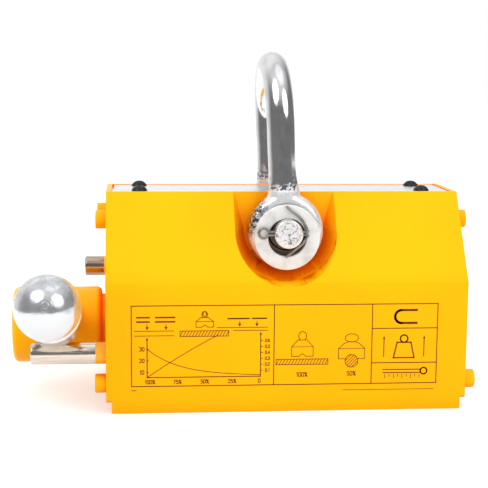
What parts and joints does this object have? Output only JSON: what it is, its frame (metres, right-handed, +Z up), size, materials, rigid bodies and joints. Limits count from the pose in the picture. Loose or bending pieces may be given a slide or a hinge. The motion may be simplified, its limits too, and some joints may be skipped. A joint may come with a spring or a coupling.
{
  "type": "lifting magnet",
  "caption": "Permanent lifting magnet: steel block with a magnet rotor turned by a ball lever, and a swinging shackle on top.",
  "frame": {"origin": "middle of the V groove's mouth, level with the two pole faces that stand on the load", "axes": "+X along the body away from the lever end, +Y towards the back, away from the lever's rest side, +Z up towards the shackle"},
  "size_m": [0.2143, 0.1499, 0.1626],
  "materials": {
    "paint": "glossy yellow enamel, slightly orange-peeled, with small chips on edges",
    "pole_steel": "painted steel, ground bare on the pole faces and in the V groove",
    "zinc_steel": "bright zinc-plated forging, rough around the eyes",
    "ground_steel": "ground and plated pins",
    "polished_metal": "polished, with casting marks on the ball",
    "dark_steel": "turned, oiled steel",
    "black_steel": "black oxide screws",
    "brass": "milled brass strip",
    "bronze": "sintered bronze",
    "nickel": "nickel-plated magnet",
    "aluminium": "plain rolled sheet and bar"
  },
  "bodies": {
    "body": {"front_pole": "pole_steel", "rear_pole": "pole_steel", "lower_separator": "brass", "bore_separator": "brass", "stator_magnets": "nickel", "magnet_spacer": "aluminium", "left_end_cover": "paint", "right_end_cover": "paint", "left_cover_screws": "paint", "right_cover_screws": "paint", "left_bush": "bronze", "right_bush": "bronze", "front_stop_pin": "ground_steel", "rear_stop_pin": "ground_steel", "keeper_pin": "ground_steel", "top_plate": "aluminium", "top_plate_screws": "black_steel", "shackle_pin": "zinc_steel", "pin_washer": "zinc_steel", "cotter_pin": "zinc_steel"},
    "rotor": {"rotor_front_half": "dark_steel", "rotor_rear_half": "dark_steel", "rotor_magnets": "nickel", "drive_shaft": "dark_steel", "stub_shaft": "dark_steel", "left_rotor_screws": "black_steel", "right_rotor_screws": "black_steel", "shaft_key": "dark_steel", "retaining_washer": "zinc_steel", "retaining_screw": "black_steel"},
    "handle": {"handle_hub": "paint", "handle_lever": "ground_steel", "handle_ball": "polished_metal", "hub_plug": "paint", "detent_screw": "black_steel", "detent_spring": "dark_steel", "detent_ball": "polished_metal"},
    "shackle": {"shackle": "zinc_steel"}
  },
  "joints": [
    {"name": "rotor_turn", "type": "hinge", "parent": "body", "child": "rotor", "pos_m": [0, 0, 0.032], "axis": [-1, 0, 0], "range_deg": [0, 148]},
    {"name": "hub_slide", "type": "slide", "parent": "rotor", "child": "handle", "axis": [-1, 0, 0], "range_m": [-0.0023, 0]},
    {"name": "shackle_swing", "type": "hinge", "parent": "body", "child": "shackle", "pos_m": [0, 0, 0.081], "axis": [0, 1, 0], "range_deg": [-48.5, 54.5]}
  ]
}
